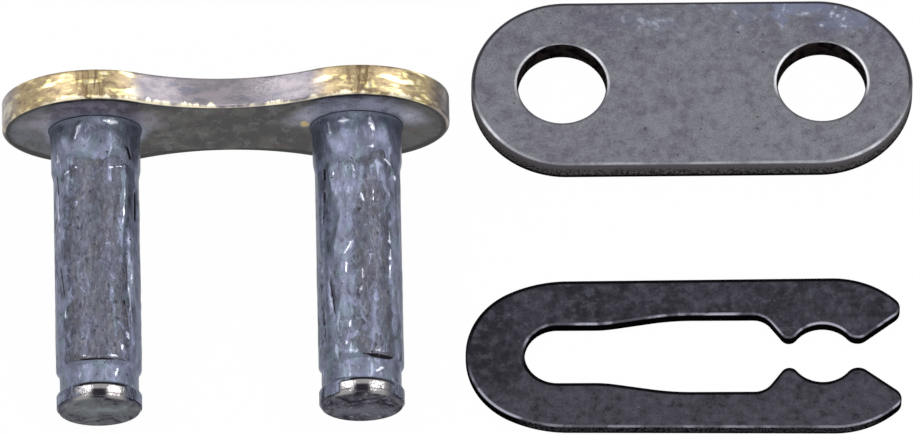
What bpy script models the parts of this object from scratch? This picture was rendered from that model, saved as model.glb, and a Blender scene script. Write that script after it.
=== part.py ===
"""Clip connecting link of a motorcycle roller chain, as the three loose pieces of one set.

The pin link leans on the rims of its plate's two lobes and on the tips of its two pins.
The cover plate and the spring clip lie flat beside it. Metres, +Z up.
"""
import math

import bmesh
import bpy
from mathutils import Vector

# Chain size
PITCH = 0.015875  # 5/8 inch between the two pins
PIN_RADIUS = 0.00255

# Plates: the pin link's plate has a waist, the cover plate has straight sides
PLATE_THICKNESS = 0.0019
LOBE_RADIUS = 0.00566
WAIST_HALF_HEIGHT = 0.00372
COVER_THICKNESS = 0.0015
COVER_RADIUS = 0.00581
COVER_END_INSET = 0.00026  # its ends are struck from inside the bores' centres, so they are blunt
RIM_ROUNDING = 0.00016  # rolled edge that the blanking die leaves
BORE_CHAMFER = 0.00024
PRESS_GAP = 0.00005  # the pins are pressed in: a hair's gap keeps the solids apart
SLIP_CLEARANCE = 0.00014  # radial play of the cover plate on the pins

# Spring clip, measured from the pin at its open end
CLIP_THICKNESS = 0.00075
CLIP_EDGE = 0.0001
CLIP_BACK_HALF_WIDTH = 0.00514  # across the closed end
CLIP_HALF_WIDTH = 0.00527  # across the tails
CLIP_NOSE_TIGHTENING = 0.00034  # the closed end is bent this much tighter than its half width
CLIP_FLANK_RADIUS = 0.008  # from the nose to the arms' straight backs
CLIP_NOSE_WIDTH = 0.00358  # metal between the closed end's inside and outside
SEAT_CLEARANCE = 0.00005
SEAT_PLAY = 0.0002  # slack along the chain with both pins in place
BITE_CLEARANCE = 0.00005
BITE_MOUTH = 0.002  # gap that snaps over a pin's groove
INNER_BUMP_RADIUS = 0.00055
OUTER_BUMP_RADIUS = 0.0008
ARM_GAP = 0.00532  # between the arms, behind the bite
SHOULDER_RADIUS = 0.0013
SHOULDER_SETBACK = 0.00418
NECK_START = 0.0022  # from the seat, where the arms begin to open
NECK_LENGTH = 0.006
NECK_RADIUS = 0.008
ARM_RADIUS = 0.016
TAIL_REACH = 0.00474
TAIL_HEIGHT = 0.00318
TAIL_TIP_RADIUS = 0.00078
TAIL_BACK_RADIUS = 0.0056

# Pins, measured along the pin from the plate's inner face
LINK_ROOM = 0.0141  # between the two plates, for the chain's inner link
GROOVE_PLAY = 0.00085  # the groove is this much wider than the clip is thick
GROOVE_DEPTH = 0.0006
LAND_LENGTH = 0.001  # collar between the groove and the tip
LAND_STEP = 0.00005  # the collar is ground this much thinner than the pin
TIP_ROUNDING = 0.00024
GROOVE_CHAMFER = 0.00006
HEAD_OVERHANG = 0.0004  # riveted end behind the plate, wider than the pin
HEAD_HEIGHT = 0.00055
HEAD_FLAT_RADIUS = 0.0014
HEAD_RIM = 0.00014
GROOVE_START = LINK_ROOM + COVER_THICKNESS
GROOVE_END = GROOVE_START + CLIP_THICKNESS + GROOVE_PLAY
PIN_REACH = GROOVE_END + LAND_LENGTH
GROOVE_RADIUS = PIN_RADIUS - GROOVE_DEPTH
LAND_RADIUS = PIN_RADIUS - LAND_STEP

# Where the clip closes round the pin at its other end
SEAT_RADIUS = GROOVE_RADIUS + SEAT_CLEARANCE
SEAT_X = -PITCH - SEAT_PLAY
CLOSED_END_X = SEAT_X - SEAT_RADIUS - CLIP_NOSE_WIDTH

# How the loose pieces lie, seen from above, and their turns about +Z
COVER_SIDE_GAP = 0.00131  # from the pin link's plate to the cover plate
CLIP_SIDE_GAP = 0.00096  # from the pin link's plate to the clip's closed end
ROW_GAP = 0.00755  # from the cover plate to the clip
PIN_LINK_SETBACK = 0.00389  # its plate's inner face, behind the middle of the row gap
PIN_LINK_TURN = math.radians(1.2)
COVER_TURN = math.radians(0.6)
CLIP_TURN = math.radians(0.3)

# Fineness of the round forms
CHORD_ERROR = 0.000008
LARGEST_STEP = math.radians(12)
TURNED_SIDES = 48
RIM_ANGLE = math.radians(50)  # edges sharper than this are rounded or chamfered
SMOOTH_ANGLE = math.radians(40)  # edges flatter than this are shaded smooth
CROWN_STEPS = 4
TIP_STEPS = 3


def metal(name, colour, roughness):
    """A bare or plated metal with one colour."""
    material = bpy.data.materials.new(name)
    material.use_nodes = True
    shader = material.node_tree.nodes["Principled BSDF"]
    shader.inputs["Base Color"].default_value = (*colour, 1)
    shader.inputs["Metallic"].default_value = 1
    shader.inputs["Roughness"].default_value = roughness
    return material


def outline(circles):
    """Closed outline that runs round circles and along their common tangents, metal on its left.

    A circle is (x, y, radius). A positive radius is a left turn, a negative one a right turn.
    """
    headings = []
    for (x1, y1, radius1), (x2, y2, radius2) in zip(circles, circles[1:] + circles[:1]):
        aside = radius2 - radius1
        straight = math.sqrt(max(math.dist((x1, y1), (x2, y2)) ** 2 - aside ** 2, 0))
        headings.append(math.atan2(y2 - y1, x2 - x1) - math.atan2(aside, straight))
    points = []
    for (x, y, radius), start, end in zip(circles, headings[-1:] + headings[:-1], headings):
        turn = (end - start) % math.tau
        if radius < 0:
            turn -= math.tau
        step = min(2 * math.acos(1 - CHORD_ERROR / abs(radius)), LARGEST_STEP)
        steps = max(math.ceil(abs(turn) / step), 1)
        for index in range(steps + 1):
            heading = start + turn * index / steps
            point = Vector((x + radius * math.sin(heading), y - radius * math.cos(heading), 0))
            if not points or (point - points[-1]).length > CHORD_ERROR:
                points.append(point)
    if (points[0] - points[-1]).length <= CHORD_ERROR:
        points.pop()
    return points


def blank(name, circles, thickness, rounding, material):
    """A flat stamping: the outline, given its thickness from z = 0 upwards, with its rim rounded."""
    shape = bmesh.new()
    face = shape.faces.new([shape.verts.new(point) for point in outline(circles)])
    lifted = bmesh.ops.extrude_face_region(shape, geom=[face])["geom"]
    top = [part for part in lifted if isinstance(part, bmesh.types.BMVert)]
    bmesh.ops.translate(shape, verts=top, vec=(0, 0, thickness))
    bmesh.ops.recalc_face_normals(shape, faces=shape.faces)
    piece = add_piece(name, shape, material)
    rim = piece.modifiers.new("rounded_rim", "BEVEL")
    rim.width = rounding
    rim.segments = 2
    rim.limit_method = "ANGLE"
    rim.angle_limit = RIM_ANGLE
    return piece


def bore(piece, radius):
    """Two chamfered holes through a plate, one pitch apart."""
    shape = bmesh.new()
    for side in (-1, 1):
        hole = bmesh.ops.create_cone(
            shape, cap_ends=True, segments=TURNED_SIDES, radius1=radius, radius2=radius,
            depth=4 * PLATE_THICKNESS)
        bmesh.ops.translate(shape, verts=hole["verts"], vec=(side * PITCH / 2, 0, 0))
    cutter = add_piece(piece.name + "_cutter", shape)
    cutter.parent = piece.parent
    cutter.matrix_basis = piece.matrix_basis
    cutter.hide_render = True
    cutter.display_type = "WIRE"
    cut = piece.modifiers.new("bores", "BOOLEAN")
    cut.object = cutter
    chamfer = piece.modifiers.new("bore_chamfers", "BEVEL")
    chamfer.width = BORE_CHAMFER
    chamfer.segments = 1
    chamfer.limit_method = "ANGLE"
    chamfer.angle_limit = RIM_ANGLE


def turned(name, profile, material):
    """A turned piece: the profile, given as (radius, height) points, spun round +Z."""
    shape = bmesh.new()
    points = [shape.verts.new((radius, 0, height)) for radius, height in profile]
    edges = [shape.edges.new(pair) for pair in zip(points, points[1:])]
    bmesh.ops.spin(
        shape, geom=points + edges, cent=(0, 0, 0), axis=(0, 0, 1), angle=math.tau,
        steps=TURNED_SIDES, use_merge=True)
    bmesh.ops.remove_doubles(shape, verts=shape.verts, dist=1e-7)
    bmesh.ops.recalc_face_normals(shape, faces=shape.faces)
    return add_piece(name, shape, material)


def add_piece(name, shape, material=None):
    """Put a finished bmesh into the scene, shaded smooth between its sharp edges."""
    mesh = bpy.data.meshes.new(name)
    shape.to_mesh(mesh)
    shape.free()
    mesh.shade_smooth()
    mesh.set_sharp_from_angle(angle=SMOOTH_ANGLE)
    piece = bpy.data.objects.new(name, mesh)
    bpy.context.scene.collection.objects.link(piece)
    if material:
        mesh.materials.append(material)
    return piece


def pin_profile():
    """Half section of a pin, from the riveted head's centre to the tip's centre."""
    head_seat = -PLATE_THICKNESS - PRESS_GAP
    head_radius = PIN_RADIUS + HEAD_OVERHANG
    crown = HEAD_HEIGHT - HEAD_RIM
    profile = [(0, head_seat - HEAD_HEIGHT)]
    for index in range(CROWN_STEPS + 1):
        angle = math.pi / 2 * index / CROWN_STEPS
        profile.append((
            HEAD_FLAT_RADIUS + (head_radius - HEAD_FLAT_RADIUS) * math.sin(angle),
            head_seat - HEAD_RIM - crown * math.cos(angle)))
    profile += [
        (head_radius, head_seat),
        (PIN_RADIUS, head_seat),
        (PIN_RADIUS, GROOVE_START - GROOVE_CHAMFER),
        (PIN_RADIUS - GROOVE_CHAMFER, GROOVE_START),
        (GROOVE_RADIUS, GROOVE_START),
        (GROOVE_RADIUS, GROOVE_END),
        (LAND_RADIUS - GROOVE_CHAMFER, GROOVE_END),
        (LAND_RADIUS, GROOVE_END + GROOVE_CHAMFER)]
    for index in range(TIP_STEPS + 1):
        angle = math.pi / 2 * index / TIP_STEPS
        profile.append((
            LAND_RADIUS - TIP_ROUNDING * (1 - math.cos(angle)),
            PIN_REACH - TIP_ROUNDING * (1 - math.sin(angle))))
    profile.append((0, PIN_REACH))
    return profile


def resting_lean():
    """Slope of the pins and height of the inner face's centre when the pin link lies on the floor.

    The floor is the common tangent of the plate's rounded inner rim and the pin tips' rounding.
    """
    drop = (LOBE_RADIUS - RIM_ROUNDING) - (LAND_RADIUS - TIP_ROUNDING)
    run = PIN_REACH - TIP_ROUNDING + RIM_ROUNDING
    slope = math.atan2(drop, run) - math.asin((TIP_ROUNDING - RIM_ROUNDING) / math.hypot(drop, run))
    height = (LOBE_RADIUS - RIM_ROUNDING) * math.cos(slope) + RIM_ROUNDING * (1 - math.sin(slope))
    return slope, height


def build_pin_link():
    """The waisted plate with its two riveted pins, leaning on the floor."""
    slope, height = resting_lean()
    link = bpy.data.objects.new("pin_link", None)
    bpy.context.scene.collection.objects.link(link)
    half = PITCH / 2
    link.location = (-half - LOBE_RADIUS, PIN_LINK_SETBACK, height)
    link.rotation_euler = (math.radians(90) + slope, 0, PIN_LINK_TURN)
    waist_depth = LOBE_RADIUS - WAIST_HALF_HEIGHT
    waist_radius = (half ** 2 + WAIST_HALF_HEIGHT ** 2 - LOBE_RADIUS ** 2) / (2 * waist_depth)
    waist_centre = WAIST_HALF_HEIGHT + waist_radius
    plate = blank(
        "pin_link_plate",
        [(half, 0, LOBE_RADIUS), (0, waist_centre, -waist_radius),
         (-half, 0, LOBE_RADIUS), (0, -waist_centre, -waist_radius)],
        PLATE_THICKNESS, RIM_ROUNDING, metal("gold_plated_steel", (0.62, 0.5, 0.27), 0.3))
    plate.parent = link
    plate.location = (0, 0, -PLATE_THICKNESS)
    bore(plate, PIN_RADIUS + PRESS_GAP)
    pin_steel = metal("pin_steel", (0.3, 0.29, 0.28), 0.3)
    for name, side in (("left_pin", -1), ("right_pin", 1)):
        pin = turned(name, pin_profile(), pin_steel)
        pin.parent = link
        pin.location = (side * half, 0, 0)
    return link


def build_cover_plate():
    """The loose outer plate, which slips over both pins."""
    reach = PITCH / 2 - COVER_END_INSET
    cover = blank(
        "cover_plate", [(reach, 0, COVER_RADIUS), (-reach, 0, COVER_RADIUS)],
        COVER_THICKNESS, RIM_ROUNDING, metal("plate_steel", (0.18, 0.178, 0.2), 0.4))
    cover.location = (COVER_SIDE_GAP + COVER_RADIUS + reach, ROW_GAP / 2 + COVER_RADIUS, 0)
    cover.rotation_euler = (0, 0, COVER_TURN)
    bore(cover, PIN_RADIUS + SLIP_CLEARANCE)
    return cover


def clip_circles():
    """The clip's outline: seat, arms, bite, tails, backs and nose, the same above and below its axis."""
    bite_radius = GROOVE_RADIUS + BITE_CLEARANCE
    inner_y = BITE_MOUTH / 2 + INNER_BUMP_RADIUS
    inner_x = -math.sqrt((bite_radius + INNER_BUMP_RADIUS) ** 2 - inner_y ** 2)
    outer_y = BITE_MOUTH / 2 + OUTER_BUMP_RADIUS
    outer_x = math.sqrt((bite_radius + OUTER_BUMP_RADIUS) ** 2 - outer_y ** 2)
    tail_x = TAIL_REACH - TAIL_TIP_RADIUS
    tail_back_y = CLIP_HALF_WIDTH - TAIL_BACK_RADIUS
    tail_back_x = tail_x - math.sqrt(
        (TAIL_BACK_RADIUS - TAIL_TIP_RADIUS) ** 2 - (TAIL_HEIGHT - tail_back_y) ** 2)
    half = [
        (SEAT_X + NECK_START, SEAT_RADIUS + NECK_RADIUS, NECK_RADIUS),
        (SEAT_X + NECK_START + NECK_LENGTH, ARM_GAP / 2 - ARM_RADIUS, -ARM_RADIUS),
        (-SHOULDER_SETBACK, ARM_GAP / 2 - SHOULDER_RADIUS, -SHOULDER_RADIUS),
        (inner_x, inner_y, INNER_BUMP_RADIUS),
        (0, 0, -bite_radius),
        (outer_x, outer_y, OUTER_BUMP_RADIUS),
        (tail_x, TAIL_HEIGHT, TAIL_TIP_RADIUS),
        (tail_back_x, tail_back_y, TAIL_BACK_RADIUS)]
    nose_radius = CLIP_BACK_HALF_WIDTH - CLIP_NOSE_TIGHTENING
    nose_x = CLOSED_END_X + nose_radius
    flank_y = CLIP_BACK_HALF_WIDTH - CLIP_FLANK_RADIUS
    flank_x = nose_x + math.sqrt((CLIP_FLANK_RADIUS - nose_radius) ** 2 - flank_y ** 2)
    half.append((flank_x, flank_y, CLIP_FLANK_RADIUS))
    below = [(x, -y, radius) for x, y, radius in reversed(half)]
    return [(SEAT_X, 0, -SEAT_RADIUS), *half, (nose_x, 0, nose_radius), *below]


def build_clip():
    """The flat spring clip, which snaps into the grooves of both pins."""
    clip = blank(
        "spring_clip", clip_circles(), CLIP_THICKNESS, CLIP_EDGE,
        metal("spring_steel", (0.05, 0.049, 0.06), 0.45))
    clip.location = (CLIP_SIDE_GAP - CLOSED_END_X, -ROW_GAP / 2 - CLIP_HALF_WIDTH, 0)
    clip.rotation_euler = (0, 0, CLIP_TURN)
    return clip


def centre_on_origin(carriers):
    """Slide the whole set over the floor until its bounding box is centred on the origin."""
    bpy.context.view_layer.update()
    depsgraph = bpy.context.evaluated_depsgraph_get()
    places = []
    for piece in bpy.context.scene.objects:
        if piece.type == "MESH" and not piece.hide_render:
            evaluated = piece.evaluated_get(depsgraph)
            places += [evaluated.matrix_world @ vertex.co for vertex in evaluated.data.vertices]
    for axis in (0, 1):
        values = [place[axis] for place in places]
        middle = (min(values) + max(values)) / 2
        for carrier in carriers:
            carrier.location[axis] -= middle


for old in list(bpy.data.objects):
    bpy.data.objects.remove(old)
pin_link = build_pin_link()
cover_plate = build_cover_plate()
spring_clip = build_clip()
cover_cutter = bpy.data.objects["cover_plate_cutter"]
centre_on_origin([pin_link, cover_plate, cover_cutter, spring_clip])
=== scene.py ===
import math

import bmesh
import bpy
import numpy as np
from mathutils import Matrix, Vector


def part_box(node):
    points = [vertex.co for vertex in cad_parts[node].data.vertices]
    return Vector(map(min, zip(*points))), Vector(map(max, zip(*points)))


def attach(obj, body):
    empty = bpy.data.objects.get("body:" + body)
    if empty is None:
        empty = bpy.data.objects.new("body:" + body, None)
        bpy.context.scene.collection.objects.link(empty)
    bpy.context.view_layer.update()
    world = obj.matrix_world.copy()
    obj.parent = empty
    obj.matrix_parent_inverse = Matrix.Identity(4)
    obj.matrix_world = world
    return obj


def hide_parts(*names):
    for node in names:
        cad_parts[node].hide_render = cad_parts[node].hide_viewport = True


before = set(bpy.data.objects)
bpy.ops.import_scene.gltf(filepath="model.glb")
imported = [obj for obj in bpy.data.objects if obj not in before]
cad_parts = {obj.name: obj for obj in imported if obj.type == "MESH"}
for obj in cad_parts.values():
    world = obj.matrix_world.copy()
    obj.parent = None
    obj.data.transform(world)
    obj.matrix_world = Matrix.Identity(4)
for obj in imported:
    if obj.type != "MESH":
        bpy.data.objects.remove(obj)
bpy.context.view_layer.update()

# The table, the light and the camera. The pieces lie on a white sheet under soft boxes, as for a
# catalogue picture, and a long lens looks down on them from the front. Lengths in this section are
# in metres unless their name says otherwise, and in every other section they are in mm.
MM = 0.001
VIEW_CENTRE = (-0.000119, 0.000474)  # the point on the sheet in the middle of the picture
VIEW_ELEVATION = math.radians(59.5)
PICTURE_PIXELS = 913
PIXELS_PER_MM = 16.41
LENS_MM = 750
SENSOR_MM = 36
SIGHT_LIMIT = 10
SHEET_SIZE = 1.2
SHEET_WHITE = 0.9
SHEET_GLOW = 0.985  # share of the sheet's look that is plain white, so that its shadows stay faint
AMBIENT = 0.6
LAMP_DISTANCE = 0.4
OVERHEAD_ELEVATION = 78
OVERHEAD_SIZE = (0.2, 0.06)
OVERHEAD_WATTS = 0.2
STRIP_AZIMUTH = 111
STRIP_ELEVATION = 49
STRIP_SIZE = (0.04, 0.24)
STRIP_WATTS = 0.22


def light_path(tree):
    """1 for a ray that shows the background: straight from the camera, mirrored or passed through."""
    rays = tree.nodes.new("ShaderNodeLightPath")
    shown = rays.outputs["Is Camera Ray"]
    for name in ("Is Glossy Ray", "Is Transmission Ray"):
        either = tree.nodes.new("ShaderNodeMath")
        either.operation = "MAXIMUM"
        tree.links.new(shown, either.inputs[0])
        tree.links.new(rays.outputs[name], either.inputs[1])
        shown = either.outputs[0]
    return shown


def white_sheet():
    """A flat sheet at z = 0 that shows white and keeps a faint shadow."""
    half = SHEET_SIZE / 2
    mesh = bpy.data.meshes.new("sheet")
    corners = [(-half, -half, 0), (half, -half, 0), (half, half, 0), (-half, half, 0)]
    mesh.from_pydata(corners, [], [(0, 1, 2, 3)])
    sheet = bpy.data.objects.new("sheet", mesh)
    bpy.context.scene.collection.objects.link(sheet)
    material = bpy.data.materials.new("sheet_white")
    material.use_nodes = True
    tree = material.node_tree
    tree.nodes.remove(tree.nodes["Principled BSDF"])
    paper = tree.nodes.new("ShaderNodeBsdfDiffuse")
    paper.inputs["Color"].default_value = (SHEET_WHITE, SHEET_WHITE, SHEET_WHITE, 1)
    glow = tree.nodes.new("ShaderNodeEmission")
    share = tree.nodes.new("ShaderNodeMath")
    share.operation = "MULTIPLY"
    share.inputs[1].default_value = SHEET_GLOW
    tree.links.new(light_path(tree), share.inputs[0])
    mix = tree.nodes.new("ShaderNodeMixShader")
    tree.links.new(share.outputs[0], mix.inputs["Fac"])
    tree.links.new(paper.outputs[0], mix.inputs[1])
    tree.links.new(glow.outputs[0], mix.inputs[2])
    tree.links.new(mix.outputs[0], tree.nodes["Material Output"].inputs["Surface"])
    mesh.materials.append(material)


def white_room():
    """A world that shows white and lights the pieces evenly."""
    world = bpy.data.worlds.new("white_room")
    bpy.context.scene.world = world
    world.use_nodes = True
    tree = world.node_tree
    background = tree.nodes["Background"]
    background.inputs["Color"].default_value = (1, 1, 1, 1)
    level = tree.nodes.new("ShaderNodeMapRange")
    level.inputs["To Min"].default_value = AMBIENT
    level.inputs["To Max"].default_value = 1
    tree.links.new(light_path(tree), level.inputs["Value"])
    tree.links.new(level.outputs[0], background.inputs["Strength"])


def soft_box(name, azimuth, elevation, size, watts):
    """A rectangular lamp that faces the pieces from a compass azimuth and an elevation, in degrees."""
    around, up = math.radians(azimuth), math.radians(elevation)
    lamp = bpy.data.lights.new(name, "AREA")
    lamp.shape = "RECTANGLE"
    lamp.size, lamp.size_y = size
    lamp.energy = watts
    holder = bpy.data.objects.new(name, lamp)
    bpy.context.scene.collection.objects.link(holder)
    holder.location = (
        LAMP_DISTANCE * math.cos(up) * math.sin(around),
        -LAMP_DISTANCE * math.cos(up) * math.cos(around), LAMP_DISTANCE * math.sin(up))
    holder.rotation_euler = (math.pi / 2 - up, 0, around)


def camera():
    """The camera at the photograph's angle, far off and level with the picture's edges."""
    lens = bpy.data.cameras.new("camera")
    lens.lens = LENS_MM
    lens.sensor_width = SENSOR_MM
    lens.clip_end = SIGHT_LIMIT
    eye = bpy.data.objects.new("camera", lens)
    bpy.context.scene.collection.objects.link(eye)
    distance = PICTURE_PIXELS / PIXELS_PER_MM * MM * LENS_MM / SENSOR_MM
    eye.location = (
        VIEW_CENTRE[0], VIEW_CENTRE[1] - distance * math.cos(VIEW_ELEVATION),
        distance * math.sin(VIEW_ELEVATION))
    eye.rotation_euler = (math.pi / 2 - VIEW_ELEVATION, 0, 0)
    bpy.context.scene.camera = eye


white_sheet()
white_room()
soft_box("overhead_box", 0, OVERHEAD_ELEVATION, OVERHEAD_SIZE, OVERHEAD_WATTS)
soft_box("left_strip", -STRIP_AZIMUTH, STRIP_ELEVATION, STRIP_SIZE, STRIP_WATTS)
soft_box("right_strip", STRIP_AZIMUTH, STRIP_ELEVATION, STRIP_SIZE, STRIP_WATTS)
camera()
bpy.context.scene.view_settings.view_transform = "Standard"

# The pin link's plate: hardened steel strip blanked to a figure of eight with a waist, gold plated.
# The rim keeps its gold, and the inner face, towards the pins, is worn grey under old grease.
PITCH = 15.875
PLATE_THICKNESS = 1.9
LOBE_RADIUS = 5.66
WAIST_HALF_HEIGHT = 3.72
RIM_ROUNDING = 0.16
BORE_CHAMFER = 0.24
PIN_RADIUS = 2.55
PRESS_GAP = 0.05
LINK_LEAN = math.radians(9.89)
LINK_TURN = math.radians(1.2)
BROWN_STREAK_X = 8.2  # where brown streaks cross the rim, either side of the middle
CHIP_PLACE = (4.8, 0.6)  # the spot beside the right pin where gold is left on the inner face
STEP = 0.09  # spacing of the points along an outline
ARC_STEPS = 6  # the fewest steps along an arc
LEAST = 1e-4  # differences under this, in mm or radians, count as none
EDGE_POINTS = 7
WALL_POINTS = 8
MIDDLE_POINTS = 60
BORE_EDGE_POINTS = 5
BORE_WALL_POINTS = 6
FACE_SHARES = (0, 0.004, 0.02, 0.1, 0.25, 0.4, 0.55, 0.7, 0.85, 0.95, 0.99, 0.997, 1)
FAR = -3  # stands in for a distance inwards where no edge is near


def trace(circles, first, last):
    """Points and outward normals of a path that runs round circles and along their tangents.

    A point on a circle (x, y, radius) is its centre plus radius times (sin h, -cos h), where h is
    the path's heading and (sin h, -cos h) the outward normal. A positive radius turns left.
    """
    circles = np.array(circles, float)
    aside = np.diff(circles[:, 2])
    run = np.diff(circles[:, :2], axis=0)
    straight = np.sqrt(np.maximum((run ** 2).sum(1) - aside ** 2, 0))
    slopes = np.arctan2(run[:, 1], run[:, 0]) - np.arctan2(aside, straight)
    headings = np.concatenate([[first], slopes, [last]])
    points, normals = [], []
    start = first
    for index, (x, y, radius) in enumerate(circles):
        turn = (headings[index + 1] - start) % math.tau
        if radius < 0:
            turn -= math.tau
        if abs(abs(turn) - math.tau) < LEAST:
            turn = 0
        h = start + np.linspace(0, turn, max(math.ceil(abs(turn * radius) / STEP), ARC_STEPS) + 1)
        normal = np.stack([np.sin(h), -np.cos(h)], -1)
        arc = np.array([x, y]) + radius * normal
        gap = np.linalg.norm(arc[0] - points[-1][-1]) if points else 0
        if gap > 2 * STEP:
            share = np.linspace(0, 1, math.ceil(gap / STEP) + 1)[1:-1, None]
            points.append(points[-1][-1] * (1 - share) + arc[0] * share)
            normals.append(np.repeat(normal[:1], len(share), 0))
        points.append(arc)
        normals.append(normal)
        start = h[-1]
    points, normals = np.concatenate(points), np.concatenate(normals)
    kept = np.concatenate([[True], np.linalg.norm(np.diff(points, axis=0), axis=1) > LEAST])
    return points[kept], normals[kept]


def wall_section(thickness, rounding, edge_points, wall_points):
    """Inset, height and distance down from the top face of a wall with two rounded edges.

    Each edge is a quarter circle: inset r (1 - sin a) and drop r (1 - cos a), a from 0 to 90 degrees.
    """
    a = np.linspace(0, math.pi / 2, edge_points)
    wall = np.linspace(rounding, thickness - rounding, wall_points)[1:-1]
    inset = rounding * (1 - np.sin(a))
    drop = rounding * (1 - np.cos(a))
    around = rounding * a
    depth = thickness - 2 * rounding
    down = np.concatenate([around, around[-1] + wall - rounding, around[-1] + depth + around])
    inset = np.concatenate([inset, np.zeros(len(wall)), inset[::-1]])
    drop = np.concatenate([drop, wall, thickness - drop[::-1]])
    return inset, thickness - drop, down


def grid(flat, height, **values):
    """A patch of points from arrays of (x, y) and z, with the values its material reads."""
    height = np.broadcast_to(height, flat.shape[:-1])
    patch = {"points": np.concatenate([flat, height[..., None]], -1)}
    for name, value in values.items():
        patch[name] = np.broadcast_to(value, flat.shape[:-1])
    return patch


def plate_patches(circles, thickness, bore_radius):
    """Half of a plate with a bore, right of its middle line, as patches.

    Each flat face is ruled from the bore's edge to the outline and the middle line: a ruling is
    (1 - s) bore + s border. The rim and the bore are their sections carried round their outlines.
    The values edge and bore are distances in mm from the rim's and the bore's upper edge, above 0
    down its wall and below 0 on the faces. The value side is 1 on the lower face.
    """
    border, normal = trace(circles, 0, math.pi)
    rounding_in = border - RIM_ROUNDING * normal
    top_y = rounding_in[-1, 1]
    middle_y = np.linspace(top_y, -top_y, MIDDLE_POINTS)[1:-1]
    middle = np.stack([np.zeros(len(middle_y)), middle_y], -1)
    loop = np.concatenate([rounding_in, middle, rounding_in[:1]])
    centre = np.array([PITCH / 2, 0])
    outwards = loop - centre
    reach = np.linalg.norm(outwards, axis=1, keepdims=True)
    outwards = outwards / reach
    bore_edge = bore_radius + BORE_CHAMFER
    distance = bore_edge + np.array(FACE_SHARES) * (reach - bore_edge)
    face = centre + outwards[:, None] * distance[..., None]
    inwards = reach - distance
    on_rim = np.arange(len(loop)) < len(border)
    edge = np.where(on_rim[:, None], -inwards, FAR)
    bore = bore_edge - distance
    patches = []
    for height, side in ((thickness, 0), (0, 1)):
        patches.append(grid(face, height, edge=edge, bore=bore, side=side))
    inset, height, down = wall_section(thickness, RIM_ROUNDING, EDGE_POINTS, WALL_POINTS)
    rim = border[:, None] - inset[None, :, None] * normal[:, None]
    patches.append(grid(rim, height, edge=down, bore=FAR, side=0))
    inset, height, _ = wall_section(thickness, BORE_CHAMFER, BORE_EDGE_POINTS, BORE_WALL_POINTS)
    radius = bore_radius + inset
    inside = centre + outwards[:, None] * radius[None, :, None]
    patches.append(grid(inside, height, edge=FAR, bore=thickness - height, side=0))
    return patches


def mirrored(patches):
    """The patches and their copies on the other side of the middle line x = 0."""
    copies = []
    for patch in patches:
        copy = dict(patch)
        copy["points"] = patch["points"] * np.array([-1, 1, 1])
        copies.append(copy)
    return patches + copies


def skin(name, patches, turn, shift):
    """One mesh from patches whose common edges share their points.

    Point (i, j) of a patch is joined to its neighbours (i + 1, j) and (i, j + 1). The points are
    turned by the matrix turn, scaled from mm and moved by shift. The attribute place keeps them
    as they were, in the piece's own frame in mm.
    """
    quads, count = [], 0
    for patch in patches:
        rows, columns = patch["points"].shape[:2]
        index = count + np.arange(rows * columns).reshape(rows, columns)
        corners = [index[:-1, :-1], index[1:, :-1], index[1:, 1:], index[:-1, 1:]]
        quads.append(np.stack(corners, -1).reshape(-1, 4))
        count += rows * columns
    place = np.concatenate([patch["points"].reshape(-1, 3) for patch in patches])
    mesh = bpy.data.meshes.new(name)
    mesh.from_pydata(place.tolist(), [], np.concatenate(quads).tolist())
    mesh.attributes.new("place", "FLOAT_VECTOR", "POINT").data.foreach_set("vector", place.ravel())
    for value in patches[0]:
        if value != "points":
            whole = np.concatenate([np.asarray(patch[value], float).ravel() for patch in patches])
            mesh.attributes.new(value, "FLOAT", "POINT").data.foreach_set("value", whole)
    shape = bmesh.new()
    shape.from_mesh(mesh)
    bmesh.ops.remove_doubles(shape, verts=shape.verts, dist=LEAST)
    bmesh.ops.dissolve_degenerate(shape, edges=shape.edges, dist=LEAST)
    bmesh.ops.recalc_face_normals(shape, faces=shape.faces)
    shape.to_mesh(mesh)
    shape.free()
    move = Matrix(turn.tolist()).to_4x4() * MM
    move.col[3] = (*shift, 1)
    mesh.transform(move)
    mesh.shade_smooth()
    piece = bpy.data.objects.new(name, mesh)
    bpy.context.scene.collection.objects.link(piece)
    return piece


def seat(patches, turn, node):
    """The shift, in metres, that centres the turned patches in the CAD node's box."""
    place = np.concatenate([patch["points"].reshape(-1, 3) for patch in patches]) @ turn.T * MM
    low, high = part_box(node)
    return (np.array(low) + np.array(high) - place.min(0) - place.max(0)) / 2


class Socket:
    """A shader value that Python expressions can use: each operator adds its Math node."""

    def __init__(self, finish, link):
        self.finish = finish
        self.link = link

    def maths(self, operation, *others):
        """One Math node on this value and the others."""
        return self.finish.add("Math", {"operation": operation}, dict(enumerate((self, *others))))

    def __add__(self, other):
        return self.maths("ADD", other)

    def __sub__(self, other):
        return self.maths("SUBTRACT", other)

    def __rsub__(self, other):
        return self.finish.add("Math", {"operation": "SUBTRACT"}, {0: other, 1: self})

    def __mul__(self, other):
        return self.maths("MULTIPLY", other)

    def __pow__(self, other):
        return self.maths("POWER", other)

    __radd__ = __add__
    __rmul__ = __mul__

    def size(self):
        """The value without its sign."""
        return self.maths("ABSOLUTE")

    def between(self, low, high):
        """0 under low and 1 over high, with a smooth step from one to the other."""
        settings = {"interpolation_type": "SMOOTHSTEP"}
        return self.finish.add("MapRange", settings, {"Value": self, "From Min": low, "From Max": high})

    def below(self, low, high):
        """1 under low and 0 over high: the reverse of between."""
        return 1 - self.between(low, high)


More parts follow.
